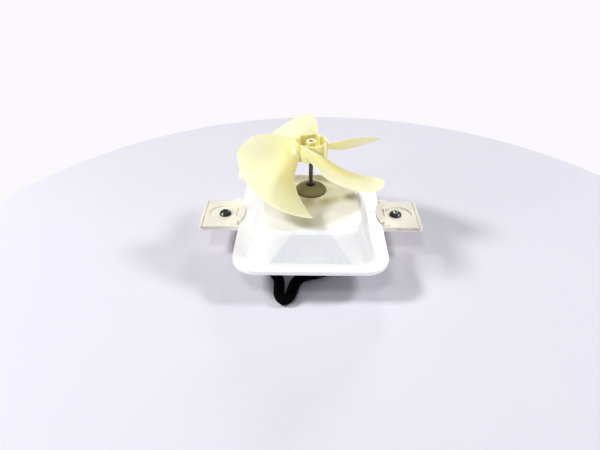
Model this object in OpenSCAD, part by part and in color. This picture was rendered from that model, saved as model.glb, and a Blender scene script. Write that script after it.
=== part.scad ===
// Fan motor for a cold air duct: a four blade fan on a shaded pole motor, under a moulded cap
// with two clip on ears. The origin is on the shaft axis, in the plane that the ears seat on.
// The shaft stands along Z, the ears lie along X and the lead loops out along -Y.

/* [Housing] */
// Gap between the coil and the side wall of the cap at its foot
side_room = 4.4; // [4:0.1:9]
// Width of the flange beside the cap
side_ledge = 10; // [9.6:0.1:12]
// Distance from the shaft to the foot of the front wall
foot_front = 67.3; // [64:0.1:70]
// Width of the flange in front of the cap
front_ledge = 6.4; // [6:0.1:9]
// Distance from the shaft to the foot of the back wall
foot_back = 46; // [42:1:50]
// Width of the flange behind the cap
back_ledge = 8; // [7:0.5:10]
// Corner radius of the flange
flange_r = 18; // [12:1:20]
// Thickness of the flange sheet
flange_t = 2; // [1.8:0.1:2.4]
// Height of the turned down lip below the flange sheet
lip_h = 1.1; // [0.6:0.1:1.5]
// Corner radius at the foot of the front wall
foot_front_r = 16; // [12:1:18]
// Corner radius at the foot of the back wall
foot_back_r = 30; // [26:1:34]
// How far each side wall leans in on its way to the deck
side_lean = 8.5; // [7:0.5:10]
// How far the front wall leans in on its way to the deck
front_lean = 10.3; // [9:0.1:12]
// How far the back wall leans in on its way to the deck
back_lean = 20; // [16:1:22]
// Corner radius of the deck at the front
deck_front_r = 20; // [14:1:24]
// Corner radius of the deck at the back
deck_back_r = 31; // [26:1:34]
// Height of the deck above the flange
cap_h = 21.7; // [20:0.1:25]
// Depth of the rounding along the edge of the deck
edge_drop = 4; // [2:0.5:6]
// Wall thickness of the cap
cap_wall = 2; // [1.6:0.1:2.4]

/* [Ears] */
// Distance from the edge of the flange to the middle of each ear screw
screw_room = 12.5; // [11:0.5:15]
// Distance from an ear screw to the outer edge of its ear
ear_end = 18.4; // [16.5:0.1:24]
// Half depth of an ear
ear_half_d = 19; // [17.5:0.5:22]
// Thickness of an ear
ear_t = 4; // [3.6:0.1:5]
// Thickness of the top skin of an ear
ear_skin = 1.9; // [1.6:0.1:2.2]
// Height of the pad that grips the flange from above
pad_rise = 1.1; // [0.8:0.1:1.6]
// Overlap of the pad on the flange
pad_reach = 3.3; // [2:0.1:4.5]
// Overlap of the tongue under the flange
tongue_reach = 9.2; // [8:0.1:9.5]
// Radius of the round dish about the ear screw
dish_r = 10.7; // [9:0.1:11.5]
// Depth of the dish
dish_depth = 0.9; // [0.5:0.1:1.1]
// Radius of the ear screw's shank
screw_r = 1.95; // [1.7:0.05:2.1]
// Radius of the ear screw's head
screw_head_r = 4.7; // [4.2:0.1:5.2]
// Length of the ear screw below the ear
screw_reach = 8; // [7:1:18]

/* [Fan] */
// Radius of the fan over its blade tips
fan_r = 57; // [50:0.2:58]
// Number of blades
blades = 4; // [3:1:5]
// Outer radius of the hub
hub_r = 12.2; // [11:0.1:13.5]
// Height of the hub
hub_h = 13; // [12:0.5:15]
// Wall thickness of the hub
hub_wall = 1.6; // [1.2:0.1:2]
// Height of the hub's top above the deck
hub_rise = 42; // [40:0.5:50]
// Radius of the boss that holds the shaft
boss_r = 3.9; // [3.2:0.1:4.5]
// Thickness of a blade at its root
blade_root_t = 2; // [1.4:0.1:2.4]
// Thickness of a blade at its tip
blade_tip_t = 1.2; // [0.9:0.1:1.6]

/* [Motor] */
// Radius of the shaft
shaft_r = 1.5875; // [1.4:0.0125:1.75]
// Radius of the rotor
rotor_r = 12.5; // [11.5:0.1:12.8]
// Air gap between rotor and stator
air_gap = 0.4; // [0.3:0.05:0.6]
// Height of the lamination stack
stack_h = 16; // [14:0.5:17]
// Depth of the middle of the stack below the flange
stack_drop = 9; // [8.5:0.1:10]
// Half depth of the stack, across the two limbs
stack_half_d = 25; // [24:0.5:26]
// Width of each limb that reaches to the coil
limb_w = 8; // [7:0.5:8.5]
// Distance from the shaft to the stack's plain end
stack_end = 21; // [19:0.5:24]
// Distance from the shaft to the middle of the coil
coil_x = 28.5; // [28.2:0.1:28.8]
// Width of the core inside the coil
core_w = 13; // [11:0.5:13.5]
// Thickness of the winding on the bobbin
winding_t = 3.8; // [3:0.1:4]
// Height of a bearing boss above the stack
boss_reach = 10; // [9.5:0.1:11]
// Distance from the shaft to each motor screw
motor_screw_y = 20.5; // [20:0.1:21]
// Radius of a motor screw
motor_screw_r = 1.5; // [1.3:0.05:1.6]

/* [Grommet] */
// Radius of the rubber grommet on the deck
grommet_r = 12.2; // [11:0.1:13]
// Height of the grommet above the deck
grommet_h = 5.2; // [4:0.1:6]
// Radius of the hole in the deck that holds the grommet
grommet_seat_r = 8; // [7:0.1:9]
// Radius of the grommet's hole round the shaft
grommet_bore_r = 3.4; // [2.6:0.1:3.6]

/* [Hidden] */

// Clearances
run_gap = 0.03;
seat_gap = 0.05;
slip_gap = 0.1;
free_gap = 0.3;
eps = 0.01;

// Heights that tie the assembly together
flange_top = ear_t;
flange_low = flange_top - flange_t;
deck_z = flange_top + cap_h;
deck_low = deck_z - cap_wall;
stack_mid = flange_top - stack_drop;
stack_top = stack_mid + stack_h / 2;
stack_low = stack_mid - stack_h / 2;
base_z = stack_low - boss_reach;
hub_top = deck_z + hub_rise;
hub_low = hub_top - hub_h;

// Bearing bracket, measured from the face of the stack
foot_t = 2.5;
bar_low = 4;
bar_high = 7;
floor_t = 1;
boss_out_r = 9;
cup_r = 7.4;
leg_in = rotor_r + 1.1;
leg_t = 2.6;
foot_out = motor_screw_y + 3.9;
bracket_w = 12;
cap_t = 0.7;
bearing_r = 4.5;
felt_h = 3;
bore_r = rotor_r + air_gap;

// Coil, seen along its own axis
core_half_w = core_w / 2;
core_half_h = stack_h / 2;
tube_wall = 1.1;
tube_half_w = core_half_w + slip_gap + tube_wall;
tube_half_h = core_half_h + slip_gap + tube_wall;
wind_half_w = tube_half_w + winding_t;
wind_half_h = tube_half_h + winding_t;
tape_t = 0.4;
wind_round = 5;
bobbin_half_w = wind_half_w + tape_t + 0.7;
bobbin_up = wind_half_h + tape_t + 0.5;
bobbin_flange_t = 1.4;
limb_in = stack_half_d - limb_w;
bobbin_end = limb_in - 0.8;
wind_end = bobbin_end - bobbin_flange_t - slip_gap;
limb_end = coil_x + core_half_w + 3;
body_end = coil_x - bobbin_half_w - 0.6;

// The cap stands round the coil, the flange round the cap, and the ears beside the flange
foot_half_w = coil_x + bobbin_half_w + side_room;
deck_half_w = foot_half_w - side_lean;
deck_front = foot_front - front_lean;
deck_back = foot_back - back_lean;
flange_half_w = foot_half_w + side_ledge;
flange_front = foot_front + front_ledge;
flange_back = foot_back + back_ledge;
screw_x = flange_half_w + screw_room;
ear_outer = screw_x + ear_end;

// Lead from the terminal cover to the connector
lead_r = 4.25;
lead_sides = 8;
lead_steps = 4;
lead_route = [[23, -28, -18], [23, -31, -18], [22.6, -34, -18.2], [20, -39, -18.7],
    [8, -46.5, -18.7], [-5, -51, -18.7], [-10.2, -57.5, -18.7], [-12.8, -66, -18.7],
    [-14.4, -72.5, -18.7], [-18.3, -76.6, -18.7], [-21.8, -72.5, -18.7], [-22.6, -65, -18.7],
    [-23.5, -54, -18.7], [-31, -38, -18.7], [-36, -15, -18.7], [-37, 10, -18.7],
    [-29, 32, -18.7], [-14, 46, -18.7], [-2, 46, -18.7], [10, 46, -18.7]];
connector_l = 22;
connector_w = 15;
connector_h = 8.4;

// Smoothness of the round parts
$fn = 64;

// A flat outline with its front edge at -front, its back edge at +back and round corners
module slab(half_w, front, back, rf, rb) {
    translate([-half_w, rf - front]) square([2 * half_w, front + back - rf - rb]);
    translate([rf - half_w, -front]) square([2 * (half_w - rf), front]);
    translate([rb - half_w, 0]) square([2 * (half_w - rb), back]);
    for (sx = [-1, 1]) {
        translate([sx * (half_w - rf), rf - front]) circle(rf);
        translate([sx * (half_w - rb), back - rb]) circle(rb);
    }
}

// A rectangle with round corners about the origin
module soft_rect(half_w, half_h, r) {
    square([2 * half_w, 2 * (half_h - r)], center = true);
    square([2 * (half_w - r), 2 * half_h], center = true);
    for (sx = [-1, 1])
        for (sy = [-1, 1])
            translate([sx * (half_w - r), sy * (half_h - r)]) circle(r);
}

// A ring between two radii
module ring(r_out, r_in, h) {
    difference() {
        cylinder(h = h, r = r_out);
        translate([0, 0, -1]) cylinder(h = h + 2, r = r_in);
    }
}

// The cap's outline at one height: f runs from the foot (0) to the deck (1)
module cap_slice(f, inset, z) {
    half_w = foot_half_w + (deck_half_w - foot_half_w) * f - inset;
    front = foot_front + (deck_front - foot_front) * f - inset;
    back = foot_back + (deck_back - foot_back) * f - inset;
    rf = foot_front_r + (deck_front_r - foot_front_r) * f - inset;
    rb = foot_back_r + (deck_back_r - foot_back_r) * f - inset;
    for (sx = [-1, 1]) {
        translate([sx * (half_w - rf), rf - front, z]) cylinder(h = eps, r = rf);
        translate([sx * (half_w - rb), back - rb, z]) cylinder(h = eps, r = rb);
    }
}

// The cap as a solid from a foot height up, shrunk by a wall; its deck edge is rounded in steps
module cap_solid(shrink, foot_z) {
    top = deck_z - shrink - eps;
    hull() {
        cap_slice((foot_z - flange_top + shrink) / cap_h, shrink, foot_z);
        for (k = [[1, 0], [0.475, 0.35], [0.15, 1.2], [0, 2.8]])
            cap_slice(1 - k[0] * edge_drop / cap_h, shrink + k[1], top - k[0] * edge_drop);
    }
}

// A hollow post under the deck that takes one motor screw
post_r = 3.6;
post_low = stack_top + foot_t;
screw_grip = 9;
rib_t = 1.2;
rib_h = 7;
rib_l = 5;
module motor_post(side) {
    translate([0, side * motor_screw_y, post_low]) {
        cylinder(h = deck_low - post_low + eps, r = post_r);
        for (a = [0, 180])
            rotate([90, 0, a])
                linear_extrude(rib_t, center = true)
                    polygon([[post_r - rib_t / 2, deck_low - post_low],
                        [post_r + rib_l, deck_low - post_low],
                        [post_r - rib_t / 2, deck_low - post_low - rib_h]]);
    }
}

// A heat staked pin that holds an ear's tongue under the flange
stake_r = 1.9;
stake_head_r = 3;
stake_head_t = 0.6;
stake_inset = 5.2;
stake_x = flange_half_w - stake_inset;
stake_y = 9;
tongue_t = 1.2;
tongue_low = flange_low - seat_gap - tongue_t;
module stake(sx, sy) {
    translate([sx * stake_x, sy * stake_y, tongue_low - stake_head_t]) {
        cylinder(h = flange_low - tongue_low + stake_head_t + eps, r = stake_r);
        cylinder(h = stake_head_t, r = stake_head_r);
    }
}

// The flange's outline, shrunk by an inset
module flange_outline(inset) {
    slab(flange_half_w - inset, flange_front - inset, flange_back - inset, flange_r - inset,
        flange_r - inset);
}

// How far the flange reaches into the cap's wall
foot_seat = cap_wall / 2;
tongue_half_d = 15.5;
module housing() {
    color([0.93, 0.93, 0.95, 0.8])
        difference() {
            union() {
                difference() {
                    translate([0, 0, flange_low])
                        linear_extrude(flange_t) flange_outline(0);
                    translate([0, 0, flange_low - 1])
                        linear_extrude(flange_t + 2)
                            slab(foot_half_w - foot_seat, foot_front - foot_seat, foot_back - foot_seat,
                                foot_front_r - foot_seat, foot_back_r - foot_seat);
                }
                translate([0, 0, flange_low - lip_h])
                    linear_extrude(lip_h + eps)
                        difference() {
                            flange_outline(0);
                            flange_outline(cap_wall);
                        }
                difference() {
                    cap_solid(0, flange_low + flange_t / 3);
                    cap_solid(cap_wall, flange_low - 1);
                }
                for (side = [-1, 1]) motor_post(side);
                for (sx = [-1, 1])
                    for (sy = [-1, 1])
                        stake(sx, sy);
            }
            translate([0, 0, deck_low - 1]) cylinder(h = cap_wall + 2, r = grommet_seat_r);
            for (side = [-1, 1])
                translate([0, side * motor_screw_y, post_low - 1])
                    cylinder(h = screw_grip + 2, r = motor_screw_r + seat_gap);
            for (sx = [-1, 1])
                translate([sx * flange_half_w, 0, flange_low - lip_h])
                    cube([2 * cap_wall + 2, 2 * (tongue_half_d + free_gap), 2 * lip_h], center = true);
        }
}

// One ear, drawn for the right side: plate, pad over the flange and tongue below it
ear_in = flange_half_w + free_gap;
pad_back = 5.4;
pad_arc_r = 35;
rail_w = 2;
groove_w = 1.5;
groove_depth = 0.8;
dish_x = screw_x + 2.2;
slot_x = flange_half_w + 2.8;
slot_l = 11;
slot_w = 1.2;
slot_depth = 0.6;
notch_w = 1.4;
notch_l = 3.2;
module ear_pockets() {
    wall = 2;
    for (sy = [-1, 1]) {
        translate([dish_x + 2, sy * 2, -1])
            mirror([0, sy < 0 ? 1 : 0, 0])
                cube([ear_outer - wall - dish_x - 2, ear_half_d - wall - 2, ear_t - ear_skin + 1]);
        translate([ear_in + pad_back + 1, sy * 2, -1])
            mirror([0, sy < 0 ? 1 : 0, 0])
                cube([dish_x - ear_in - pad_back - 1, ear_half_d - wall - 2, ear_t - ear_skin + 1]);
    }
}

module ear() {
    mid = (ear_in + ear_outer) / 2;
    difference() {
        union() {
            difference() {
                translate([mid, 0, 0])
                    linear_extrude(ear_t) soft_rect(ear_outer - mid, ear_half_d, 1.2);
                ear_pockets();
            }
            translate([screw_x, 0, 0]) cylinder(h = ear_t - dish_depth, r = screw_head_r + 0.8);
            intersection() {
                translate([flange_half_w - pad_reach - 1, 2 - ear_half_d, flange_top + seat_gap])
                    cube([pad_reach + pad_back + 2, 2 * ear_half_d - 4, pad_rise]);
                translate([flange_half_w - pad_reach + pad_arc_r, 0, 0])
                    cylinder(h = 3 * ear_t, r = pad_arc_r, $fn = 160);
            }
            translate([ear_in, 2 - ear_half_d, flange_low])
                cube([pad_back, 2 * ear_half_d - 4, flange_t + seat_gap + eps]);
            translate([flange_half_w - tongue_reach, -tongue_half_d, tongue_low])
                cube([tongue_reach + pad_back, 2 * tongue_half_d, tongue_t]);
            translate([ear_in + 4, ear_half_d - 1.4, 0]) cylinder(h = ear_t + 0.5, r = 3.8);
        }
        translate([dish_x, 0, ear_t - dish_depth]) cylinder(h = ear_t, r = dish_r);
        translate([ear_outer - rail_w - groove_w, -ear_half_d - 1, ear_t - groove_depth])
            cube([groove_w, 2 * ear_half_d + 2, ear_t]);
        translate([screw_x, 0, -1]) cylinder(h = 3 * ear_t, r = screw_r + 0.3);
        translate([slot_x - slot_w / 2, -slot_l / 2, ear_t - slot_depth])
            cube([slot_w, slot_l, ear_t]);
        translate([ear_in, ear_half_d - notch_w - notch_l, ear_t - slot_depth])
            cube([notch_w, notch_l, ear_t]);
        translate([ear_in, 2 * notch_w - ear_half_d, ear_t - slot_depth])
            cube([notch_w, notch_l, ear_t]);
        translate([0, -ear_half_d, 0])
            rotate([90, 0, 0])
                linear_extrude(2.8, center = true)
                    polygon([[screw_x + 1, 1.2], [ear_outer - 2.2, 1.2], [ear_outer - 2.2, 3],
                        [screw_x - 3.6, 3]]);
        for (sy = [-1, 1])
            translate([stake_x, sy * stake_y, -1]) cylinder(h = ear_t, r = stake_r + slip_gap);
    }
}

module left_ear() {
    color([0.93, 0.9, 0.8]) mirror([1, 0, 0]) ear();
}

module right_ear() {
    color([0.93, 0.9, 0.8]) ear();
}

// A domed head screw with a cross recess. Its head seats on z = 0, with a thinner neck below that
// and then the threaded shank
module dome_screw(head_r, head_h, r, l, neck) {
    neck_r = r * 0.88;
    difference() {
        rotate_extrude()
            polygon([[0, -l - r], [r, -l], [r, -neck], [neck_r, -neck], [neck_r, 0],
                [head_r, 0], [head_r, head_h * 0.35],
                [head_r * 0.93, head_h * 0.6], [head_r * 0.75, head_h * 0.83],
                [head_r * 0.45, head_h * 0.97], [0, head_h]]);
        for (a = [0, 90])
            rotate(a)
                translate([-head_r * 0.5, -head_r * 0.1, head_h * 0.45])
                    cube([head_r, head_r * 0.2, head_h]);
    }
}

screw_head_h = 2.8;
module ear_screws() {
    seat = ear_t - dish_depth;
    color([0.2, 0.2, 0.21])
        for (sx = [-1, 1])
            translate([sx * screw_x, 0, seat])
                dome_screw(screw_head_r, screw_head_h, screw_r, screw_reach + seat, seat + free_gap);
}

// Rubber grommet snapped into the deck: dome above, groove in the wall, lip below
module grommet() {
    lip = 1.3;
    color([0.47, 0.43, 0.3])
        translate([0, 0, deck_z])
            rotate_extrude()
                polygon([[grommet_bore_r, -cap_wall - seat_gap - lip],
                    [grommet_seat_r + 1.6, -cap_wall - seat_gap - lip],
                    [grommet_seat_r + 2, -cap_wall - seat_gap],
                    [grommet_seat_r - seat_gap, -cap_wall - seat_gap],
                    [grommet_seat_r - seat_gap, seat_gap],
                    [grommet_r, seat_gap],
                    [grommet_r * 0.985, grommet_h * 0.2],
                    [grommet_r * 0.9, grommet_h * 0.45],
                    [grommet_r * 0.74, grommet_h * 0.7],
                    [grommet_r * 0.54, grommet_h * 0.9],
                    [grommet_r * 0.4, grommet_h],
                    [grommet_bore_r + 0.5, grommet_h],
                    [grommet_bore_r, grommet_h - 0.6]]);
}

// Blade form: angles in degrees at the leading and trailing edge, heights above the hub's foot,
// each a curve over the share s of the way from hub to tip
function lead_angle(s) = 248.3 + 38.9 * s - 15.1 * s * s + 10.5 * pow(s, 6);
function trail_angle(s) = 320.1 + 37.2 * s + 7 * s * s - 2.4 * pow(s, 8);
lead_root_h = 11.8;
lead_climb = 10.8;
lead_swell = 10.1;
lead_droop = 23.7;
trail_root_h = 3.5;
trail_fall = 21.7;
trail_sag = 1.1;
belly_rise = 21.2;
belly_fade = 16.8;
function lead_height(s) = lead_root_h + lead_climb * s + lead_swell * s * s - lead_droop * pow(s, 3);
function trail_height(s) = trail_root_h - trail_fall * s - trail_sag * s * s;
function belly(s, k) = (belly_rise * s - belly_fade * s * s) * 4 * k * (1 - k) * (1.15 - 0.3 * k);
blade_rows = 14;
blade_cols = 8;
root_r = hub_r - hub_wall * 0.6;

// The tip's corners are drawn in a little, more at the leading edge
lead_corner = 0.04;
trail_corner = 0.04;
function tip_r(k) = fan_r * (1 - lead_corner * pow(1 - k, 5) - trail_corner * pow(k, 8));

function blade_mid(s, k) =
    let (r = root_r + (tip_r(k) - root_r) * s,
        a = lead_angle(s) + (trail_angle(s) - lead_angle(s)) * k,
        h = lead_height(s) + (trail_height(s) - lead_height(s)) * k - belly(s, k))
    [r * cos(a), r * sin(a), h];
function blade_t(s, k) =
    (blade_root_t + (blade_tip_t - blade_root_t) * s) * (0.4 + 0.6 * sqrt(4 * k * (1 - k)));

module blade() {
    grid = [for (i = [0:blade_rows]) for (j = [0:blade_cols]) [i / blade_rows, j / blade_cols]];
    up = [for (g = grid) blade_mid(g[0], g[1]) + [0, 0, blade_t(g[0], g[1]) / 2]];
    low = [for (g = grid) blade_mid(g[0], g[1]) - [0, 0, blade_t(g[0], g[1]) / 2]];
    row = blade_cols + 1;
    n = len(up);
    faces = [
        for (i = [0:blade_rows - 1]) for (j = [0:blade_cols - 1])
            let (a = i * row + j) each [[a, a + 1, a + row], [a + 1, a + row + 1, a + row]],
        for (i = [0:blade_rows - 1]) for (j = [0:blade_cols - 1])
            let (a = n + i * row + j) each [[a, a + row, a + 1], [a + 1, a + row, a + row + 1]],
        for (i = [0:blade_rows - 1])
            let (a = i * row, b = i * row + blade_cols)
                each [[a, a + row, n + a + row], [a, n + a + row, n + a],
                    [b, n + b, n + b + row], [b, n + b + row, b + row]],
        for (j = [0:blade_cols - 1])
            let (a = j, b = blade_rows * row + j)
                each [[a, n + a, n + a + 1], [a, n + a + 1, a + 1],
                    [b, b + 1, n + b + 1], [b, n + b + 1, n + b]]
    ];
    polyhedron(points = concat(up, low), faces = faces, convexity = 6);
}

hub_floor = 2.4;
module fan() {
    color([0.97, 0.94, 0.74])
        translate([0, 0, hub_low])
            difference() {
                union() {
                    ring(hub_r, hub_r - hub_wall, hub_h);
                    cylinder(h = hub_floor, r = hub_r - hub_wall / 2);
                    cylinder(h = hub_h - 0.3, r = boss_r);
                    for (b = [0:blades - 1])
                        rotate(b * 360 / blades) blade();
                }
                translate([0, 0, -1]) cylinder(h = hub_h + 2, r = shaft_r + slip_gap / 5);
            }
}

module shaft() {
    shaft_low = base_z + cap_t + slip_gap;
    color([0.3, 0.3, 0.32])
        translate([0, 0, shaft_low]) cylinder(h = hub_top - 0.6 - shaft_low, r = shaft_r);
}

module rotor_core() {
    color([0.45, 0.45, 0.47])
        translate([0, 0, stack_low]) ring(rotor_r, shaft_r + seat_gap, stack_h);
}

end_ring_h = 2.8;
end_ring_in = 6.5;
module rotor_end_rings() {
    color([0.75, 0.76, 0.78])
        for (z = [stack_top, stack_low - end_ring_h])
            translate([0, 0, z]) ring(rotor_r - 0.6, end_ring_in, end_ring_h);
}

// Height of a spacer, a thrust washer and the gap left up to the bracket's floor
washer_t = 0.5;
end_play = 0.2;
spacer_h = bar_low - washer_t - end_play;
spacer_r = 2.9;
washer_r = 3.4;
module spacer_sleeves() {
    color([0.6, 0.6, 0.62])
        for (z = [stack_top, stack_low - spacer_h])
            translate([0, 0, z]) ring(spacer_r, shaft_r + seat_gap, spacer_h);
}

module thrust_washers() {
    color([0.25, 0.22, 0.2])
        for (z = [stack_top + spacer_h, stack_low - spacer_h - washer_t])
            translate([0, 0, z]) ring(washer_r, shaft_r + seat_gap, washer_t);
}

// A die cast bearing bracket standing on z = 0, the face of the stack
module bracket() {
    difference() {
        union() {
            for (s = [0, 1])
                mirror([0, s, 0])
                    rotate([90, 0, 90])
                        linear_extrude(bracket_w, center = true)
                            polygon([[0, bar_low], [leg_in, bar_low], [leg_in, 0], [foot_out, 0],
                                [foot_out, foot_t], [leg_in + leg_t + 0.4, foot_t],
                                [leg_in + leg_t - 0.8, bar_high], [0, bar_high]]);
            translate([0, 0, bar_low]) cylinder(h = boss_reach - bar_low, r = boss_out_r);
            for (sx = [-1, 1])
                translate([sx * (bracket_w / 2 - 1) - 1, -leg_in, bar_high - eps])
                    cube([2, 2 * leg_in, 1.2]);
        }
        translate([0, 0, bar_low + floor_t]) cylinder(h = boss_reach, r = cup_r);
        cylinder(h = boss_reach, r = shaft_r + 0.7);
        for (sy = [-1, 1])
            translate([0, sy * motor_screw_y, -1])
                cylinder(h = foot_t + 2, r = motor_screw_r + slip_gap);
    }
}

module at_top() {
    translate([0, 0, stack_top]) children();
}

module at_low() {
    translate([0, 0, stack_low]) mirror([0, 0, 1]) children();
}

module upper_bracket() {
    color([0.66, 0.67, 0.69]) at_top() bracket();
}

module lower_bracket() {
    color([0.66, 0.67, 0.69]) at_low() bracket();
}

// A sintered bush with a rounded outside, standing on the floor of its cup
bearing_h = boss_reach - cap_t - bar_low - floor_t - slip_gap;
module bearing() {
    translate([0, 0, bar_low + floor_t])
        rotate_extrude()
            polygon([[shaft_r + run_gap, 0], [bearing_r - 0.9, 0], [bearing_r - 0.2, bearing_h * 0.25],
                [bearing_r, bearing_h * 0.5], [bearing_r - 0.2, bearing_h * 0.75],
                [bearing_r - 0.9, bearing_h], [shaft_r + run_gap, bearing_h]]);
}

module upper_bearing() {
    color([0.72, 0.52, 0.3]) at_top() bearing();
}

module lower_bearing() {
    color([0.72, 0.52, 0.3]) at_low() bearing();
}

module felt() {
    translate([0, 0, bar_low + floor_t]) ring(cup_r - slip_gap, bearing_r + slip_gap, felt_h);
}

module oil_felts() {
    color([0.8, 0.76, 0.66]) {
        at_top() felt();
        at_low() felt();
    }
}

module upper_bearing_cap() {
    color([0.7, 0.71, 0.73])
        at_top() translate([0, 0, boss_reach - cap_t]) ring(cup_r - seat_gap, shaft_r + 0.7, cap_t);
}

module lower_bearing_cap() {
    color([0.7, 0.71, 0.73])
        at_low() translate([0, 0, boss_reach - cap_t]) cylinder(h = cap_t, r = cup_r - seat_gap);
}

// Places of the rivets and of the shading ring legs in the stack
rivet_r = 1.5;
rivet_spots = [[-stack_end + 4.5, 20], [limb_end - 4, stack_half_d - limb_w / 2]];
shade_r = bore_r + 2.6;
shade_angles = [[28, 52], [152, 128]];
shade_w = 1.8;
stack_r = 4;
module shade_leg_spot(a) {
    translate([shade_r * cos(a), shade_r * sin(a)]) rotate(a) children();
}

module stack_outline() {
    difference() {
        union() {
            translate([stack_r - stack_end, -stack_half_d])
                square([limb_end + stack_end - stack_r, 2 * stack_half_d]);
            translate([-stack_end, stack_r - stack_half_d])
                square([2 * stack_r, 2 * (stack_half_d - stack_r)]);
            for (sy = [-1, 1])
                translate([stack_r - stack_end, sy * (stack_half_d - stack_r)]) circle(stack_r);
        }
        translate([body_end, -limb_in]) square([limb_end, 2 * limb_in]);
        circle(bore_r);
        translate([0, -1.2]) square([body_end + 1, 2.4]);
        translate([-stack_end - 1, -1.5]) square([stack_end - bore_r - 0.4, 3]);
        for (s = [0, 1])
            mirror([0, s, 0]) {
                translate([0, motor_screw_y]) circle(motor_screw_r + slip_gap);
                for (p = rivet_spots) translate(p) circle(rivet_r + seat_gap);
                for (pair = shade_angles)
                    for (a = pair)
                        shade_leg_spot(a) square(shade_w + 2 * seat_gap, center = true);
            }
    }
}

module stator_stack() {
    color([0.42, 0.41, 0.42])
        translate([0, 0, stack_low]) linear_extrude(stack_h) stack_outline();
}

module coil_core() {
    half_l = limb_in - seat_gap;
    color([0.42, 0.41, 0.42])
        translate([coil_x - core_half_w, -half_l, stack_low]) cube([core_w, 2 * half_l, stack_h]);
}

// Copper loops round parts of the poles, each with two legs through the stack
module shading_rings() {
    color([0.75, 0.42, 0.26])
        for (s = [0, 1])
            mirror([0, s, 0])
                for (pair = shade_angles) {
                    for (a = pair)
                        translate([0, 0, stack_low - shade_w])
                            linear_extrude(stack_h + 2 * shade_w)
                                shade_leg_spot(a) square(shade_w, center = true);
                    mid = (pair[0] + pair[1]) / 2;
                    chord = 2 * shade_r * sin(abs(pair[1] - pair[0]) / 2);
                    for (z = [stack_low - shade_w, stack_top])
                        translate([0, 0, z])
                            linear_extrude(shade_w)
                                rotate(mid)
                                    translate([shade_r * cos((pair[1] - pair[0]) / 2), 0])
                                        square([shade_w, chord + shade_w], center = true);
                }
}

module stack_rivets() {
    head = 0.9;
    color([0.6, 0.6, 0.62])
        for (s = [0, 1])
            mirror([0, s, 0])
                for (p = rivet_spots)
                    translate([p[0], p[1], stack_low - head]) {
                        cylinder(h = stack_h + 2 * head, r = rivet_r);
                        cylinder(h = head, r = rivet_r + 1);
                        translate([0, 0, stack_h + head]) cylinder(h = head, r = rivet_r + 1);
                    }
}

// Stands a flat outline up along the coil's axis, between -end and +end
module along_coil(end) {
    translate([coil_x, end, stack_mid]) rotate([90, 0, 0]) linear_extrude(2 * end) children();
}

module bobbin() {
    down = stack_mid - base_z;
    color([0.9, 0.88, 0.82])
        difference() {
            union() {
                along_coil(bobbin_end) soft_rect(tube_half_w, tube_half_h, 1);
                for (side = [0, 1])
                    mirror([0, side, 0])
                        translate([0, bobbin_end - bobbin_flange_t / 2, 0])
                            along_coil(bobbin_flange_t / 2)
                                translate([0, (bobbin_up - down) / 2])
                                    soft_rect(bobbin_half_w, (bobbin_up + down) / 2, 3.5);
            }
            along_coil(bobbin_end + 1)
                square([2 * (core_half_w + slip_gap), 2 * (core_half_h + slip_gap)], center = true);
            for (sx = [-1, 1])
                translate([cover_x + sx * pin_half_gap, 0, pin_z])
                    rotate([90, 0, 0]) cylinder(h = 2 * bobbin_end, r = pin_r + seat_gap);
        }
}

module winding() {
    color([0.72, 0.38, 0.2])
        along_coil(wind_end)
            difference() {
                soft_rect(wind_half_w, wind_half_h, wind_round);
                soft_rect(tube_half_w + slip_gap, tube_half_h + slip_gap, 1);
            }
}

module coil_tape() {
    color([0.55, 0.2, 0.16])
        along_coil(wind_end)
            difference() {
                soft_rect(wind_half_w + tape_t, wind_half_h + tape_t, wind_round + tape_t);
                soft_rect(wind_half_w + seat_gap, wind_half_h + seat_gap, wind_round + seat_gap);
            }
}

// Terminal pins that stand out of the front bobbin flange, under the limb
pin_r = 0.5;
pin_half_gap = 3.5;
pin_l = 4.6;
cover_wall = 1.2;
cover_gap = 0.4;
cover_top = stack_low - cover_gap;
cover_low = base_z + cover_gap;
cover_l = 11;
cover_half_w = 6.6;
cover_x = coil_x - 4.2;
pin_z = (cover_top + cover_low) / 2;
module terminal_pins() {
    color([0.78, 0.78, 0.76])
        for (sx = [-1, 1])
            translate([cover_x + sx * pin_half_gap, slip_gap - bobbin_end + bobbin_flange_t, pin_z])
                rotate([90, 0, 0]) cylinder(h = pin_l + bobbin_flange_t, r = pin_r);
}

// Moulded cover over the terminals, with a collar that holds the end of the lead
collar_l = 3;
collar_wall = 0.6;
module terminal_cover() {
    front = -bobbin_end - slip_gap - cover_l;
    mid = (cover_top + cover_low) / 2;
    h = cover_top - cover_low;
    color([0.88, 0.86, 0.8])
        difference() {
            union() {
                translate([cover_x - cover_half_w, front, cover_low]) cube([2 * cover_half_w, cover_l, h]);
                translate([lead_route[0][0], front + eps, mid])
                    rotate([90, 0, 0]) cylinder(h = collar_l, r = lead_r + slip_gap + collar_wall);
            }
            translate([cover_x - cover_half_w + cover_wall, front + cover_wall + 1, cover_low + cover_wall])
                cube([2 * (cover_half_w - cover_wall), cover_l, h - 2 * cover_wall]);
            translate([lead_route[0][0], front - collar_l - 1, mid])
                rotate([-90, 0, 0]) cylinder(h = collar_l + 1 + cover_wall, r = lead_r + slip_gap);
        }
}

// Long screws up through both brackets and the stack into the posts of the housing
motor_head_r = 2.9;
motor_head_h = 1.9;
module motor_screws() {
    grip = stack_h + 2 * foot_t + screw_grip - 1;
    color([0.55, 0.55, 0.57])
        for (sy = [-1, 1])
            translate([0, sy * motor_screw_y, stack_low - foot_t])
                mirror([0, 0, 1])
                    dome_screw(motor_head_r, motor_head_h, motor_screw_r, grip - motor_screw_r, foot_t);
}

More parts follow.
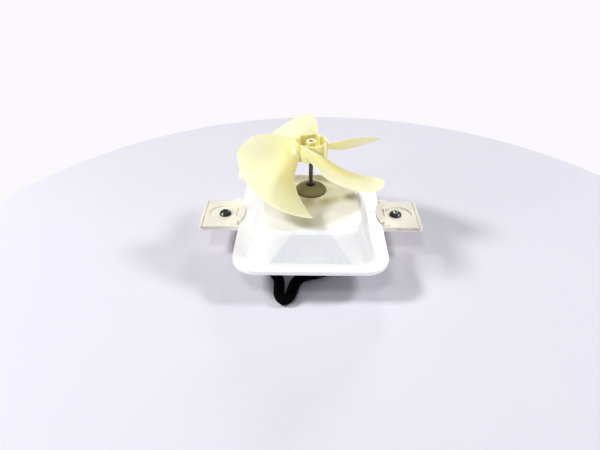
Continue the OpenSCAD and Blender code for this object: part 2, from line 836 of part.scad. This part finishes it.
// Smooth curve through the route's points
function route_at(p, i, t) =
    let (a = p[max(i - 1, 0)], b = p[i], c = p[i + 1], d = p[min(i + 2, len(p) - 1)])
    0.5 * (2 * b + (c - a) * t + (2 * a - 5 * b + 4 * c - d) * t * t
        + (3 * b - a - 3 * c + d) * t * t * t);
function route_points(p) =
    [for (i = [0:len(p) - 2]) for (k = [0:lead_steps - 1]) route_at(p, i, k / lead_steps), p[len(p) - 1]];
function unit(v) = v / norm(v);

module lead_sleeve() {
    path = route_points(lead_route);
    m = len(path);
    rings = [for (i = [0:m - 1])
        let (t = unit(path[min(i + 1, m - 1)] - path[max(i - 1, 0)]), side = unit(cross(t, [0, 0, 1])),
            up = cross(side, t))
        for (k = [0:lead_sides - 1])
            let (a = 360 * (k + 0.5) / lead_sides) path[i] + lead_r * (cos(a) * side + sin(a) * up)];
    faces = [
        for (i = [0:m - 2]) for (k = [0:lead_sides - 1])
            let (a = i * lead_sides + k, b = i * lead_sides + (k + 1) % lead_sides)
                each [[a, a + lead_sides, b], [b, a + lead_sides, b + lead_sides]],
        [for (k = [0:lead_sides - 1]) k],
        [for (k = [lead_sides - 1:-1:0]) (m - 1) * lead_sides + k]
    ];
    color([0.06, 0.06, 0.06]) polyhedron(points = rings, faces = faces, convexity = 8);
}

// Three way connector at the end of the lead
function lead_end() = lead_route[len(lead_route) - 1];
way_pitch = 4.2;
way_size = 2.6;
way_depth = 8;
latch_l = 12;
latch_w = 5;
latch_t = 0.8;
latch_x = 4;
catch_l = 3;
rail_l = 9;
rail_x = 8;
tab_l = 7;
tab_w = 1.8;
tab_t = 1.6;
module at_connector() {
    translate([lead_end()[0], lead_end()[1], lead_end()[2] - lead_r + connector_h / 2]) children();
}

module connector() {
    color([0.92, 0.91, 0.86])
        at_connector()
            difference() {
                union() {
                    translate([connector_l / 2 + 1, 0, 0])
                        cube([connector_l - 2, connector_w, connector_h], center = true);
                    translate([1, 0, 0])
                        cube([2, connector_w - 2, connector_h - 1], center = true);
                    translate([latch_x, -latch_w / 2, connector_h / 2 - eps])
                        cube([latch_l, latch_w, latch_t]);
                    translate([latch_x + latch_l - catch_l, -latch_w / 2, connector_h / 2])
                        cube([catch_l, latch_w, 2 * latch_t]);
                    for (sy = [-1, 1])
                        translate([rail_x, sy * connector_w / 2 - 0.5, -connector_h / 2])
                            cube([rail_l, 1, connector_h - 2]);
                }
                for (k = [-1:1])
                    translate([connector_l, k * way_pitch, 0])
                        cube([2 * way_depth, way_size, way_size], center = true);
            }
}

module connector_pins() {
    color([0.8, 0.76, 0.6])
        at_connector()
            for (k = [-1:1])
                translate([connector_l - way_depth + slip_gap, k * way_pitch - tab_w / 2,
                    seat_gap - way_size / 2])
                    cube([tab_l, tab_w, tab_t]);
}

fan();
shaft();
rotor_core();
rotor_end_rings();
spacer_sleeves();
thrust_washers();
upper_bracket();
lower_bracket();
upper_bearing();
lower_bearing();
oil_felts();
upper_bearing_cap();
lower_bearing_cap();
stator_stack();
coil_core();
shading_rings();
stack_rivets();
bobbin();
winding();
coil_tape();
terminal_pins();
terminal_cover();
motor_screws();
grommet();
housing();
left_ear();
right_ear();
ear_screws();
lead_sleeve();
connector();
connector_pins();
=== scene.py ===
import math
import bmesh
import bpy
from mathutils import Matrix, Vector, noise


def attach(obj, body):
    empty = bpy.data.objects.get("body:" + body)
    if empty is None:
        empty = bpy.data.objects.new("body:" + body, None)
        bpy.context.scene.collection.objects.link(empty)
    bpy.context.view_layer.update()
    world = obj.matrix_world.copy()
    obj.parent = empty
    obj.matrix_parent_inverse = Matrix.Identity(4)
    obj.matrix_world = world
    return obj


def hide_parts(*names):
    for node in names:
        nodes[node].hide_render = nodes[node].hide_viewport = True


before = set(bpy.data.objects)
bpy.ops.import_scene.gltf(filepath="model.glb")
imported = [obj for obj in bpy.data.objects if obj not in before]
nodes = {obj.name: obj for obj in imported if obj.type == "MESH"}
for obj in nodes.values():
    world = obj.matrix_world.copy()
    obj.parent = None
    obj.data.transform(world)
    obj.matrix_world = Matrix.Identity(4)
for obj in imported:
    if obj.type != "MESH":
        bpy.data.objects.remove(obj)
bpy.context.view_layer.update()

# Camera
# It stands in front of the fan and above it, as in the photograph, and looks down on the deck.
eye = Vector((-0.0037, -0.3496, 0.2299))
look_down = math.radians(34.15)
look_left = 0.013
focal_pixels = 520
picture_width = 600
camera = bpy.data.objects.new("camera", bpy.data.cameras.new("camera"))
camera.data.lens = camera.data.sensor_width * focal_pixels / picture_width
camera.data.clip_start = 0.01
camera.location = eye
camera.rotation_euler = (math.pi / 2 - look_down, 0, look_left)
bpy.context.scene.collection.objects.link(camera)
bpy.context.scene.camera = camera


# Lead sleeve
# A bundle of motor wires in a soft black sleeve. It leaves the collar of the terminal cover, makes
# one tight turn in front of the flange and lies under the cap as far as its connector.
class Wire:
    """A socket of a material, with arithmetic that adds the nodes it needs"""

    def __init__(self, tree, socket):
        self.tree = tree
        self.socket = socket

    def feed(self, socket, value):
        if isinstance(value, Wire):
            self.tree.links.new(value.socket, socket)
        elif socket.type == "RGBA":
            socket.default_value = (*value, 1)
        else:
            socket.default_value = value

    def node(self, kind, settings={}, inputs={}, out=0):
        made = self.tree.nodes.new(kind)
        for name, value in settings.items():
            setattr(made, name, value)
        for name, value in inputs.items():
            self.feed(made.inputs[name], value)
        return Wire(self.tree, made.outputs[out])

    def math(self, operation, first, second):
        kind = "ShaderNodeVectorMath" if self.socket.type == "VECTOR" else "ShaderNodeMath"
        return self.node(kind, {"operation": operation}, {0: first, 1: second})

    def __add__(self, other):
        return self.math("ADD", self, other)

    def __radd__(self, other):
        return self.math("ADD", other, self)

    def __sub__(self, other):
        return self.math("SUBTRACT", self, other)

    def __rsub__(self, other):
        return self.math("SUBTRACT", other, self)

    def __mul__(self, other):
        return self.math("MULTIPLY", self, other)

    def __rmul__(self, other):
        return self.math("MULTIPLY", other, self)

    def __truediv__(self, other):
        return self.math("DIVIDE", self, other)

    def __pow__(self, other):
        return self.math("POWER", self, other)

    def axis(self, name):
        return self.node("ShaderNodeSeparateXYZ", {}, {0: self}, out="XYZ".index(name))

    def length(self):
        return self.node("ShaderNodeVectorMath", {"operation": "LENGTH"}, {0: self}, out=1)

    def noise(self, size, detail=3.0):
        inputs = {"Vector": self, "Scale": 1 / size, "Detail": detail}
        return self.node("ShaderNodeTexNoise", {}, inputs)

    def step(self, low, high):
        inputs = {"Value": self, "From Min": low, "From Max": high}
        return self.node("ShaderNodeMapRange", {"interpolation_type": "SMOOTHSTEP"}, inputs)

    def between(self, low, high):
        """The colour low where this number is 0, and the colour high where it is 1"""
        inputs = {0: self, 6: low, 7: high}
        return self.node("ShaderNodeMix", {"data_type": "RGBA"}, inputs, out=2)


class Finish:
    """A material in the making: its shader's sockets are set by name"""

    def __init__(self, name):
        self.material = bpy.data.materials.new(name)
        self.material.use_nodes = True
        self.tree = self.material.node_tree
        self.shader = self.tree.nodes["Principled BSDF"]
        self.point = Wire(self.tree, None).node("ShaderNodeTexCoord", out=3)

    def set(self, **values):
        for name, value in values.items():
            socket = self.shader.inputs[name.replace("_", " ").title().replace("Ior", "IOR")]
            self.point.feed(socket, value)
        return self

    def relief(self, height, depth):
        """A bump whose height runs from 0 to 1 over a real depth"""
        inputs = {"Height": height, "Distance": depth, "Strength": 1.0}
        return self.set(normal=self.point.node("ShaderNodeBump", {}, inputs))


def dress(finish, *names, crease=35):
    """Gives CAD nodes a material and smooth shading, with creases over a given angle"""
    for name in names:
        mesh = nodes[name].data
        mesh.materials.clear()
        mesh.materials.append(finish.material)
        mesh.polygons.foreach_set("use_smooth", [True] * len(mesh.polygons))
        mesh.set_sharp_from_angle(angle=math.radians(crease))


def add_piece(name, vertices, faces, finish, body, crease=60):
    """A scene mesh in its own material, which rides on a body"""
    mesh = bpy.data.meshes.new(name)
    mesh.from_pydata([tuple(v) for v in vertices], [], faces)
    mesh.materials.append(finish.material)
    mesh.polygons.foreach_set("use_smooth", [True] * len(mesh.polygons))
    mesh.update()
    mesh.set_sharp_from_angle(angle=math.radians(crease))
    piece = bpy.data.objects.new(name, mesh)
    bpy.context.scene.collection.objects.link(piece)
    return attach(piece, body)


def smooth_line(points, steps):
    """A smooth curve through points, with a number of steps from each to the next"""
    line = []
    for i in range(len(points) - 1):
        a, b, c, d = (points[min(max(k, 0), len(points) - 1)] for k in range(i - 1, i + 3))
        for k in range(steps):
            t = k / steps
            line.append(0.5 * (2 * b + (c - a) * t + (2 * a - 5 * b + 4 * c - d) * t * t
                               + (3 * b - a - 3 * c + d) * t * t * t))
    return line + [points[-1]]


lead_radius = 0.00425
lead_route = [Vector(p) / 1000 for p in (
    (23, -28, -18), (23, -31, -18), (22.6, -34, -18.2), (20, -39, -18.7), (8, -46.5, -18.7),
    (-5, -51, -18.7), (-10.2, -57.5, -18.7), (-12.8, -66, -18.7), (-14.4, -72.5, -18.7),
    (-18.3, -76.6, -18.7), (-21.8, -72.5, -18.7), (-22.6, -65, -18.7), (-23.5, -54, -18.7),
    (-31, -38, -18.7), (-36, -15, -18.7), (-37, 10, -18.7), (-29, 32, -18.7), (-14, 46, -18.7),
    (-2, 46, -18.7), (10, 46, -18.7))]
lead_line = smooth_line(lead_route, 24)
lead_length = sum((b - a).length for a, b in zip(lead_line, lead_line[1:]))

sleeve = Finish("sleeve")
weave = (sleeve.point * (1.0, 1.0, 1.0)).noise(0.0009, 2.0)
dust = sleeve.point.noise(0.012, 4.0).step(0.52, 0.75)
sleeve.set(base_color=dust.between((0.0006, 0.0006, 0.0008), (0.002, 0.0018, 0.0018)),
           roughness=0.75 + 0.2 * weave, specular_ior_level=0.03)
sleeve.relief(weave, 0.0002)

sides = 36
vertices, faces = [], []
for i, point in enumerate(lead_line):
    run = (lead_line[min(i + 1, len(lead_line) - 1)] - lead_line[max(i - 1, 0)]).normalized()
    side = run.cross(Vector((0, 0, 1))).normalized()
    up = side.cross(run)
    for k in range(sides):
        a = 2 * math.pi * k / sides
        out = math.cos(a) * side + math.sin(a) * up
        crumple = noise.noise(point * 320 + out * 0.9) + 0.6 * noise.noise(point * 900 + out * 2)
        radius = lead_radius * (0.936 + 0.045 * math.tanh(crumple))
        vertices.append(point + radius * out)
for i in range(len(lead_line) - 1):
    for k in range(sides):
        a, b = i * sides + k, i * sides + (k + 1) % sides
        faces.append((a, a + sides, b + sides, b))
faces.append(tuple(range(sides)))
faces.append(tuple(reversed(range(len(vertices) - sides, len(vertices)))))
lead = add_piece("lead_tube", vertices, faces, sleeve, "motor")
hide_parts("lead_sleeve")

# Connector
# A three way nylon housing on the end of the lead, moulded with a latch and two side rails, with
# tinned brass contacts in its ways.
nylon = Finish("connector_nylon")
cloud = nylon.point.noise(0.006, 3.0)
nylon.set(base_color=cloud.between((0.80, 0.77, 0.68), (0.86, 0.84, 0.76)),
          roughness=0.42 + 0.12 * cloud, subsurface_weight=0.15, subsurface_scale=0.002)
nylon.relief(nylon.point.noise(0.0004, 2.0), 0.00002)
dress(nylon, "connector")

tinned = Finish("tinned_brass")
smear = (tinned.point * (1.0, 1.0, 0.2)).noise(0.001, 3.0)
tinned.set(base_color=smear.between((0.55, 0.53, 0.46), (0.78, 0.77, 0.72)),
           roughness=0.25 + 0.2 * smear, metallic=1.0)
tinned.relief(smear, 0.00001)
dress(tinned, "connector_pins", "terminal_pins")

# Fan
# Four wide blades and a cup shaped hub, moulded in one piece from cream plastic that has yellowed
# and lets some light through. The blades twist from hub to tip and thin out towards their edges.
fan_radius, hub_radius, hub_height, hub_wall = 0.05695, 0.0122, 0.013, 0.0016
boss_radius, bore_radius, hub_floor = 0.0039, 0.00161, 0.0024
hub_foot = 0.0547
root_radius = hub_radius - 0.6 * hub_wall
blade_root, blade_tip = 0.002, 0.0012


def blade_point(s, k, side):
    """A point of a blade: s from hub to tip, k from leading to trailing edge, side -1 or 1"""
    lead_angle = 248.3 + 38.9 * s - 15.1 * s ** 2 + 10.5 * s ** 6
    trail_angle = 320.1 + 37.2 * s + 7 * s ** 2 - 2.4 * s ** 8
    lead_height = 11.8 + 10.8 * s + 10.1 * s ** 2 - 23.7 * s ** 3
    trail_height = 3.5 - 21.7 * s - 1.1 * s ** 2
    belly = (21.2 * s - 16.8 * s ** 2) * 4 * k * (1 - k) * (1.15 - 0.3 * k)
    angle = math.radians(lead_angle + (trail_angle - lead_angle) * k)
    height = (lead_height + (trail_height - lead_height) * k - belly) / 1000
    tip = fan_radius * (1 - 0.04 * (1 - k) ** 5 - 0.04 * k ** 8)
    radius = root_radius + (tip - root_radius) * s
    thick = (blade_root + (blade_tip - blade_root) * s) * (0.4 + 0.6 * math.sqrt(4 * k * (1 - k)))
    rounding = (1 - abs(2 * k - 1) ** 34) ** 0.5 * (1 - s ** 60) ** 0.5
    fillet = 0.0011 * max(0.0, 1 - (radius - hub_radius) / 0.0022) ** 2
    height += side * (thick / 2 + fillet) * rounding
    return Vector((radius * math.cos(angle), radius * math.sin(angle), hub_foot + height))


def lathe(profile, sides, centre=(0, 0, 0)):
    """The vertices and faces of a closed profile, (radius, height) pairs, turned about Z"""
    centre = Vector(centre)
    points = [centre + Vector((r * math.cos(a), r * math.sin(a), h))
              for a in (2 * math.pi * k / sides for k in range(sides)) for r, h in profile]
    n = len(profile)
    quads = [(k * n + i, (k + 1) % sides * n + i, (k + 1) % sides * n + (i + 1) % n,
              k * n + (i + 1) % n) for k in range(sides) for i in range(n)]
    return points, quads


def rounded(profile, radius, steps=4):
    """A closed profile with its corners rounded"""
    out = []
    for i, corner in enumerate(profile):
        corner = Vector(corner)
        before = Vector(profile[i - 1]) - corner
        after = Vector(profile[(i + 1) % len(profile)]) - corner
        cut = min(radius, before.length * 0.45, after.length * 0.45)
        a, b = corner + before.normalized() * cut, corner + after.normalized() * cut
        for k in range(steps + 1):
            t = k / steps
            out.append(tuple((1 - t) ** 2 * a + 2 * t * (1 - t) * corner + t * t * b))
    return out


cream = Finish("cream_plastic")
reach = (cream.point * (1.0, 1.0, 0.0)).length()
# Painted shade: the yellow deepens and darkens a little towards the hub, for the shade in its cup and at the
# blade roots.
painted_hub_shade = 1 - reach.step(0.010, 0.040)
mottle = cream.point.noise(0.016, 3.0)
tone = mottle.between((0.99, 0.95, 0.56), (0.995, 0.965, 0.63))
# Painted shade: an olive band along each blade's trailing edge near the hub, where the blade curls away from the
# light and the hub shades it.
along = (reach - root_radius) / (fan_radius - root_radius)
cream_y, cream_x = cream.point.axis("Y"), cream.point.axis("X")
trail_turn = (along * math.radians(37.2) + along * along * math.radians(7)
              + math.radians(320.1) - cream_y.math("ARCTAN2", cream_y, cream_x))
before_trail = trail_turn.math("FLOORED_MODULO", trail_turn, math.pi / 2)
painted_trail_shade = (1 - before_trail.step(0.05, 0.7)) * (1 - along.step(0.45, 1.0)) * 0.8
deep = (painted_hub_shade * 0.85).between(tone, (0.995, 0.92, 0.38))
cream.set(base_color=painted_trail_shade.between(deep, (0.60, 0.51, 0.22)),
          roughness=0.34 + 0.14 * mottle, subsurface_weight=0.5, subsurface_scale=0.006,
          subsurface_radius=(1.0, 0.85, 0.35), coat_weight=0.08, coat_roughness=0.3)
cream.relief(cream.point.noise(0.0007, 2.0) + 2.0 * mottle, 0.00003)

rows, columns = 56, 44
vertices, faces = [], []
hub_profile = rounded([
    (hub_radius, 0.0), (hub_radius, hub_height), (hub_radius - hub_wall, hub_height),
    (hub_radius - hub_wall, hub_floor), (boss_radius, hub_floor),
    (boss_radius, hub_height - 0.0003), (bore_radius, hub_height - 0.0003), (bore_radius, 0.0),
], 0.0005)
points, quads = lathe([(r, h + hub_foot) for r, h in hub_profile], 128)
vertices += points
faces += quads
for turn in range(4):
    start = len(vertices)
    quarter = turn * math.pi / 2
    for side in (1, -1):
        for i in range(rows + 1):
            s = math.sin(math.pi / 2 * i / rows)
            for j in range(columns + 1):
                k = 0.5 - 0.5 * math.cos(math.pi * j / columns)
                p = blade_point(s, k, side)
                vertices.append(Vector((p.x * math.cos(quarter) - p.y * math.sin(quarter),
                                        p.x * math.sin(quarter) + p.y * math.cos(quarter), p.z)))
    row, top = columns + 1, (rows + 1) * (columns + 1)
    for i in range(rows):
        for j in range(columns):
            a = start + i * row + j
            faces.append((a, a + 1, a + row + 1, a + row))
            faces.append((a + top, a + top + row, a + top + row + 1, a + top + 1))
    for j in range(columns):
        a = start + j
        faces.append((a, a + top, a + top + 1, a + 1))
fan = add_piece("fan_moulding", vertices, faces, cream, "fan_set")
weld = bmesh.new()
weld.from_mesh(fan.data)
bmesh.ops.remove_doubles(weld, verts=weld.verts, dist=1e-7)
bmesh.ops.recalc_face_normals(weld, faces=weld.faces)
weld.to_mesh(fan.data)
weld.free()
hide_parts("fan")

# Shaft
# Ground steel rod, pressed into the hub's boss at the top and running in both bearings. It has
# gone dark with oil and shows fine turning marks.
shaft_steel = Finish("shaft_steel")
turning = (shaft_steel.point * (0.1, 0.1, 1.0)).noise(0.00025, 2.0)
oil = (shaft_steel.point * (1.0, 1.0, 0.3)).noise(0.004, 3.0)
shaft_steel.set(base_color=oil.between((0.05, 0.035, 0.035), (0.13, 0.10, 0.09)),
                roughness=0.30 + 0.15 * turning, metallic=0.85)
shaft_steel.relief(turning, 0.00001)
dress(shaft_steel, "shaft")

# Grommet
# An olive rubber dome snapped into the hole of the deck, to keep water and noise from the motor.
rubber = Finish("olive_rubber")
bloom = rubber.point.noise(0.005, 4.0)
dome = rubber.point.axis("Z").step(0.0255, 0.0285)
rubber.set(base_color=dome.between((0.05, 0.04, 0.015), bloom.between((0.12, 0.10, 0.035), (0.19, 0.16, 0.068))),
           roughness=0.55 + 0.2 * bloom, specular_ior_level=0.4)
rubber.relief(rubber.point.noise(0.0005, 3.0), 0.00004)
dress(rubber, "grommet")

# Housing
# A cap with a flange all round, moulded in milky polypropylene. The motor hangs below its deck
# on two posts. The cap's colour holds painted light and shade, and a painted blur of the motor behind the deck.
milky = Finish("milky_cap")
flow = milky.point.noise(0.02, 4.0)
brushed = (milky.point * (1.0, 1.0, 0.06)).noise(0.0016, 3.0)
facing = milky.point.node("ShaderNodeNewGeometry", out=1)
# Painted light and shade: the flat walls are painted a streaked grey for the dark inside behind them, while
# corners, up-facing faces, the frontal bands beside the corners and the flange are painted white as lit
# highlights.
rounding = ((facing.axis("X") * facing.axis("Y")) ** 2 * 4.0).step(0.05, 0.6)
level = facing.axis("Z").step(0.8, 0.95)
wall = (brushed + flow - 0.5).step(0.0, 1.0).between((0.78, 0.79, 0.83), (0.87, 0.875, 0.895))
across = (milky.point.axis("X") * milky.point.axis("X")) ** 0.5
front_edge = 0.0145 + (0.0225 - milky.point.axis("Z")) * 0.8
frontal = (0.0 - facing.axis("Y")).step(0.2, 0.5)
corner_highlight_band = (across - front_edge).step(-0.0015, 0.003) * frontal
flange = (0.0058 - milky.point.axis("Z")).step(0.0, 0.0005)
white = (rounding + level + corner_highlight_band + flange).step(0.0, 1.0).between(wall, (0.99, 0.99, 0.99))
deck_level = milky.point.axis("Z").step(0.019, 0.0235)


def spot(x, y, size):
    """1 at a point of the deck, falling to 0 at a distance from it"""
    offset = (milky.point - (x, y, 0.0)) * (1.0, 1.0, 0.0)
    return (1 - offset.length().step(0.0, size)) * deck_level


# Painted light and shade on the deck: a warm cream round the shaft for yellow light thrown down from the fan and
# the motor seen through the deck, an olive patch in front of the grommet for the shade of the hub and blade, a
# white patch for a highlight, and a dark grey blur for the shade of the motor's post behind the deck.
painted_warm_glow = (spot(0.0, 0.0, 0.045) * 1.8).step(0.0, 1.0).between(white, (0.99, 0.945, 0.76))
painted_olive_shade = (spot(-0.003, -0.016, 0.020) * 0.8).between(painted_warm_glow, (0.42, 0.36, 0.17))
lit_spot = (spot(0.020, -0.032, 0.022) * 1.6).step(0.0, 1.0).between(painted_olive_shade, (0.99, 0.99, 0.98))
milky.set(base_color=(spot(0.031, -0.011, 0.011) * 0.85).between(lit_spot, (0.36, 0.33, 0.30)),
          roughness=0.17 + 0.10 * flow, transmission_weight=0.04, ior=1.48,
          subsurface_weight=0.6, subsurface_scale=0.003, subsurface_radius=(1.0, 0.97, 0.9))
milky.relief(flow, 0.0001)
dress(milky, "housing", crease=28)

# Ears
# Two cream clips, each gripping the flange with a pad and a tongue. A round dish lies about the
# screw, and a groove runs along the outer rail.
ear_plastic = Finish("ear_plastic")
handling = ear_plastic.point.noise(0.008, 4.0)
ear_plastic.set(base_color=handling.between((0.92, 0.87, 0.745), (0.965, 0.925, 0.81)),
                roughness=0.38 + 0.15 * handling, subsurface_weight=0.5,
                subsurface_scale=0.003, subsurface_radius=(1.0, 0.95, 0.85))
ear_plastic.relief(ear_plastic.point.noise(0.0006, 2.0) + handling, 0.00003)
dress(ear_plastic, "left_ear", "right_ear")

# Ear screws
# Domed screws in black chrome with a cross recess, and a thread on the shank below the ears.
black_chrome = Finish("black_chrome")
wear = black_chrome.point.noise(0.0015, 4.0)
black_chrome.set(base_color=wear.between((0.004, 0.004, 0.005), (0.012, 0.012, 0.015)),
                 roughness=0.10 + 0.10 * wear, metallic=0.2)
black_chrome.relief(wear, 0.000004)
dress(black_chrome, "ear_screws", crease=50)


def thread(x, top, bottom, inner, depth, pitch):
    """A ridge wound round a screw's shank at x"""
    per_turn = 40
    steps = int(per_turn * (top - bottom) / pitch)
    points, quads = [], []
    for i in range(steps + 1):
        a = 2 * math.pi * i / per_turn
        fade = min(1.0, i / 20, (steps - i) / 20)
        z = top - (top - bottom) * i / steps
        for r, h in ((inner, 0.32), (inner + depth * fade, 0.0), (inner, -0.32)):
            points.append(Vector((x + r * math.cos(a), r * math.sin(a), z + h * pitch)))
    for i in range(steps):
        for j in range(3):
            a, b = i * 3 + j, i * 3 + (j + 1) % 3
            quads.append((a, b, b + 3, a + 3))
    quads += [(2, 1, 0), tuple(steps * 3 + j for j in range(3))]
    return points, quads


for side, x in (("left", -0.068), ("right", 0.068)):
    points, quads = thread(x, -0.0012, -0.0076, 0.0019, 0.0004, 0.0014)
    ridge = add_piece(side + "_screw_thread", points, quads, black_chrome, "motor", crease=40)

# Laminations
# Stator, coil core and rotor are stacks of half millimetre sheet steel, blue grey from their
# anneal, with a thin line at each sheet and a trace of rust on the cut edges.
sheets = Finish("laminations")
layer = (sheets.point.axis("Z") * (2 * math.pi / 0.0005)).node(
    "ShaderNodeMath", {"operation": "SINE"}, {0: sheets.point.axis("Z") * (2 * math.pi / 0.0005)})
rust = sheets.point.noise(0.007, 5.0).step(0.55, 0.75)
steel_tone = (0.5 + 0.5 * layer).between((0.10, 0.10, 0.105), (0.24, 0.235, 0.23))
sheets.set(base_color=(rust * 0.5).between(steel_tone, (0.22, 0.11, 0.06)),
           roughness=0.42 + 0.2 * rust, metallic=0.8)
sheets.relief(layer, 0.00006)
dress(sheets, "stator_stack", "coil_core", "rotor_core")

# Castings
# Die cast bearing brackets and the rotor's end rings, in a light alloy with a faint cast skin.
casting = Finish("cast_alloy")
skin = casting.point.noise(0.002, 5.0)
casting.set(base_color=skin.between((0.42, 0.42, 0.43), (0.60, 0.60, 0.61)),
            roughness=0.38 + 0.2 * skin, metallic=0.9)
casting.relief(skin, 0.00008)
dress(casting, "upper_bracket", "lower_bracket", "rotor_end_rings")

# Turned and pressed steel
# Spacer sleeves, the caps over the bearings, the rivets and the two long motor screws, all with a
# thin bright zinc layer.
zinc = Finish("zinc_steel")
spangle = zinc.point.noise(0.0018, 4.0)
zinc.set(base_color=spangle.between((0.42, 0.42, 0.43), (0.62, 0.63, 0.66)),
         roughness=0.25 + 0.2 * spangle, metallic=1.0)
zinc.relief(spangle, 0.00002)
dress(zinc, "spacer_sleeves", "upper_bearing_cap", "lower_bearing_cap", "stack_rivets",
      "motor_screws")

# Bearings
# Porous bronze bushes with rounded outsides, and felt rings round them that hold the oil.
bronze = Finish("sintered_bronze")
pores = bronze.point.noise(0.0003, 3.0)
bronze.set(base_color=pores.between((0.20, 0.11, 0.045), (0.46, 0.29, 0.13)),
           roughness=0.45 + 0.2 * pores, metallic=0.85)
bronze.relief(pores, 0.00005)
dress(bronze, "upper_bearing", "lower_bearing")

felt = Finish("oil_felt")
fibres = (felt.point * (1.0, 1.0, 3.0)).noise(0.0004, 5.0)
felt.set(base_color=fibres.between((0.28, 0.22, 0.13), (0.52, 0.45, 0.33)), roughness=0.95,
         sheen_weight=0.4)
felt.relief(fibres, 0.0003)
dress(felt, "oil_felts")

polymer = Finish("washer_polymer")
polish = polymer.point.noise(0.001, 2.0)
polymer.set(base_color=polish.between((0.02, 0.017, 0.015), (0.05, 0.04, 0.035)),
            roughness=0.35 + 0.15 * polish)
dress(polymer, "thrust_washers")

# Coil
# Enamelled wire wound on a nylon bobbin, with a wrap of dark red tape. Bare copper loops shade
# two corners of each pole.
copper = Finish("copper_wire")
turn_line = (copper.point.axis("Y") * (2 * math.pi / 0.0003)).node(
    "ShaderNodeMath", {"operation": "SINE"}, {0: copper.point.axis("Y") * (2 * math.pi / 0.0003)})
enamel = copper.point.noise(0.004, 3.0)
copper.set(base_color=enamel.between((0.36, 0.12, 0.045), (0.60, 0.24, 0.10)),
           roughness=0.25 + 0.12 * enamel, metallic=0.9, coat_weight=0.4)
copper.relief(turn_line, 0.00006)
dress(copper, "winding")

bare_copper = Finish("shading_copper")
oxide = bare_copper.point.noise(0.003, 4.0)
bare_copper.set(base_color=oxide.between((0.34, 0.13, 0.06), (0.72, 0.36, 0.20)),
                roughness=0.3 + 0.25 * oxide, metallic=1.0)
bare_copper.relief(oxide, 0.00003)
dress(bare_copper, "shading_rings")

tape = Finish("coil_tape")
wrap = tape.point.noise(0.0012, 4.0)
tape.set(base_color=wrap.between((0.20, 0.035, 0.022), (0.30, 0.06, 0.035)),
         roughness=0.3 + 0.25 * wrap, coat_weight=0.2)
tape.relief(wrap, 0.00008)
dress(tape, "coil_tape")

bobbin_nylon = Finish("bobbin_nylon")
shade = bobbin_nylon.point.noise(0.009, 3.0)
bobbin_nylon.set(base_color=shade.between((0.74, 0.70, 0.60), (0.82, 0.79, 0.70)),
                 roughness=0.4 + 0.15 * shade, subsurface_weight=0.15, subsurface_scale=0.002)
bobbin_nylon.relief(bobbin_nylon.point.noise(0.0005, 2.0), 0.00003)
dress(bobbin_nylon, "bobbin", "terminal_cover")

# Table
# A round pale lavender table top. Its far edge shows behind the fan as a wide arc.
floor_height = -0.023
table = Finish("table_top")
haze = table.point.noise(0.25, 4.0)
table.set(base_color=haze.between((0.73, 0.72, 0.80), (0.77, 0.765, 0.835)),
          roughness=0.6 + 0.1 * haze, specular_ior_level=0.2)
table.relief(table.point.noise(0.004, 3.0), 0.00004)
table_radius, table_edge = 0.3305, 0.006
points, quads = lathe(rounded([(0.0, 0.0), (table_radius, 0.0), (table_radius, -table_edge),
                               (0.0, -table_edge)], 0.0015), 256, (0.018, -0.0665, floor_height))
table_mesh = bpy.data.meshes.new("table")
table_mesh.from_pydata([tuple(v) for v in points], [], quads)
table_mesh.materials.append(table.material)
table_top = bpy.data.objects.new("table", table_mesh)
bpy.context.scene.collection.objects.link(table_top)


# Lamps
# Two strong soft boxes at the sides throw the two wide shadows. A weaker one hangs above and one
# stands behind, and two low ones in front light the walls of the cap.
def soft_box(name, turn, rise, size, level, colour=(1, 1, 1)):
    """A square lamp that faces the fan, at a turn from +X and a rise above the table in degrees"""
    distance = 1.25
    lamp = bpy.data.lights.new(name, "AREA")
    lamp.shape = "SQUARE"
    lamp.size = size
    lamp.energy = level * math.pi ** 2 * distance ** 2
    lamp.color = colour
    box = bpy.data.objects.new(name, lamp)
    turn, rise = math.radians(turn), math.radians(rise)
    toward = Vector((math.cos(rise) * math.cos(turn), math.cos(rise) * math.sin(turn),
                     math.sin(rise)))
    box.location = distance * toward
    box.rotation_euler = (-toward).to_track_quat("-Z", "Y").to_euler()
    bpy.context.scene.collection.objects.link(box)
    return box


soft_box("left_box", 184, 45, 0.22, 0.66, (1.0, 0.99, 0.98))
soft_box("right_box", 4, 46, 0.22, 0.44, (1.0, 0.99, 1.0))
soft_box("back_box", 78, 33, 0.20, 0.16)
soft_box("top_box", 250, 60, 0.24, 0.17)
soft_box("left_front_box", 218, 9, 0.30, 0.28)
soft_box("right_front_box", 322, 9, 0.30, 0.28)

# Surroundings
# A pale room lights the fan faintly, and the camera and shiny pieces see it near white behind
# the table.
world = bpy.data.worlds.new("room")
world.use_nodes = True
bpy.context.scene.world = world
room = Wire(world.node_tree, None)
light = room.node("ShaderNodeBackground", {}, {"Color": (0.95, 0.96, 1.0), "Strength": 0.02})
wall_seen = room.node("ShaderNodeBackground", {}, {"Color": (0.97, 0.945, 0.975)})
shown = (room.node("ShaderNodeLightPath") + room.node("ShaderNodeLightPath", out=3)
         + room.node("ShaderNodeLightPath", out=6))
choice = room.node("ShaderNodeMixShader", {}, {0: shown, 1: light, 2: wall_seen})
room.feed(world.node_tree.nodes["World Output"].inputs["Surface"], choice)
bpy.context.scene.view_settings.view_transform = "Standard"
